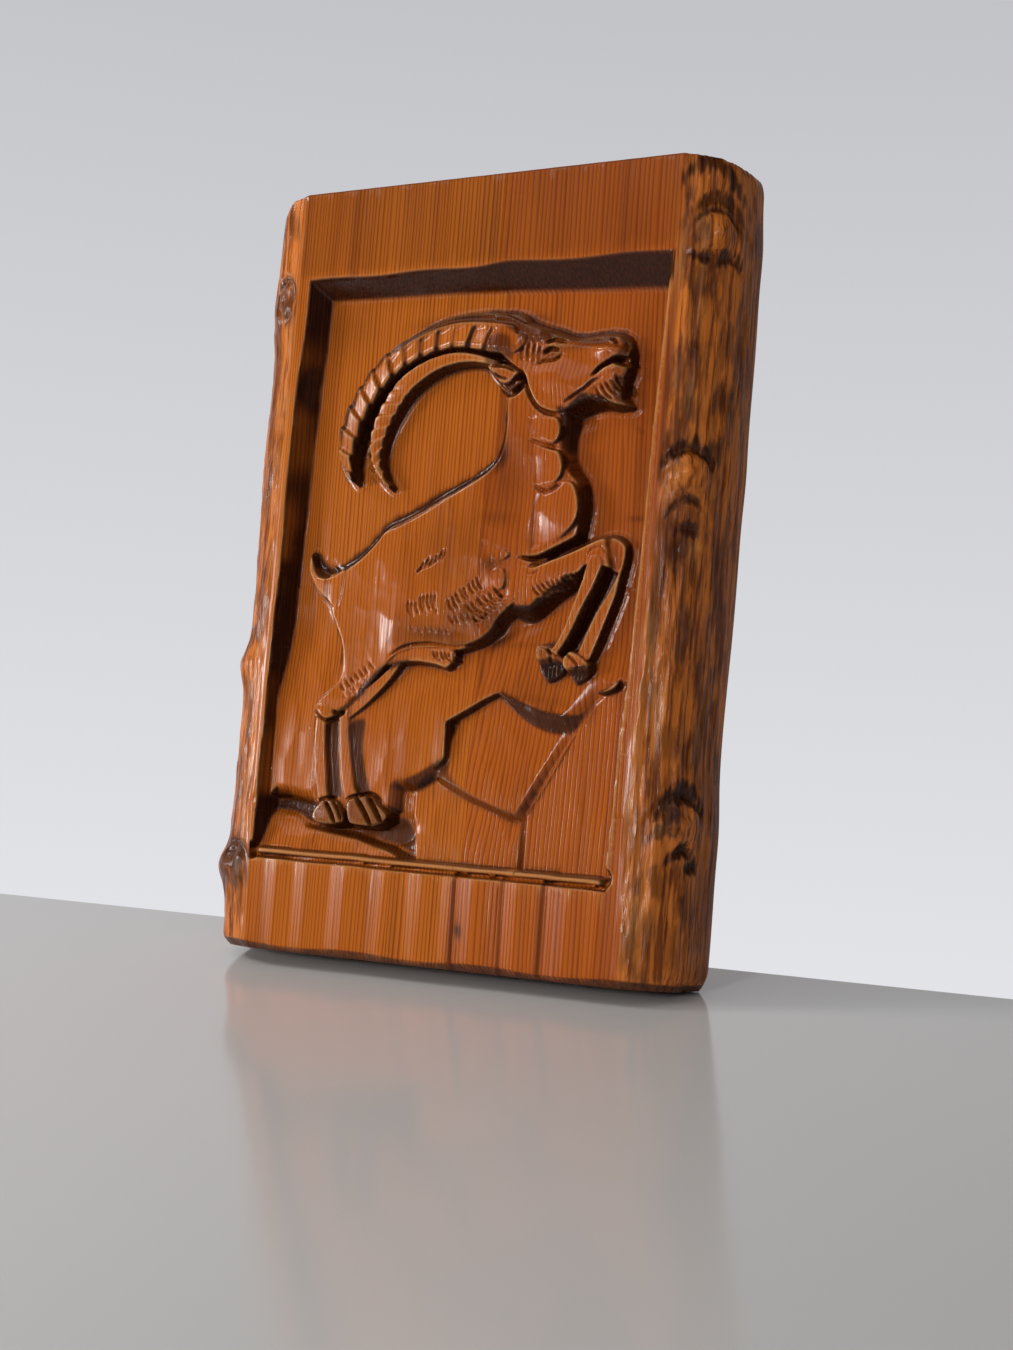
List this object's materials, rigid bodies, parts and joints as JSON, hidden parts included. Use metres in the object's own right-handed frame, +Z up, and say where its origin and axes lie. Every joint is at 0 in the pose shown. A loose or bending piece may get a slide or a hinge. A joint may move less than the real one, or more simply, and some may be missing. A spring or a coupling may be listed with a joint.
{
  "type": "ibex relief wall carving",
  "caption": "Upright wooden wall panel of edge-glued bark-edged boards, hollowed to a framed recess with a rearing ibex carved in relief above stepped rock.",
  "frame": {"origin": "middle of the flat back face, where the panel lies against a wall", "axes": "+Z up, +Y out of the back into the wall, +X to the right as the carving is seen from the front"},
  "size_m": [0.2134, 0.036, 0.3],
  "materials": {
    "pine_left": "stained and varnished pine, satin to gloss",
    "pine_right": "stained and varnished pine, redder and knotty, satin to gloss"
  },
  "bodies": {
    "root": {"left_board": "pine_left", "right_board": "pine_right"}
  },
  "joints": []
}
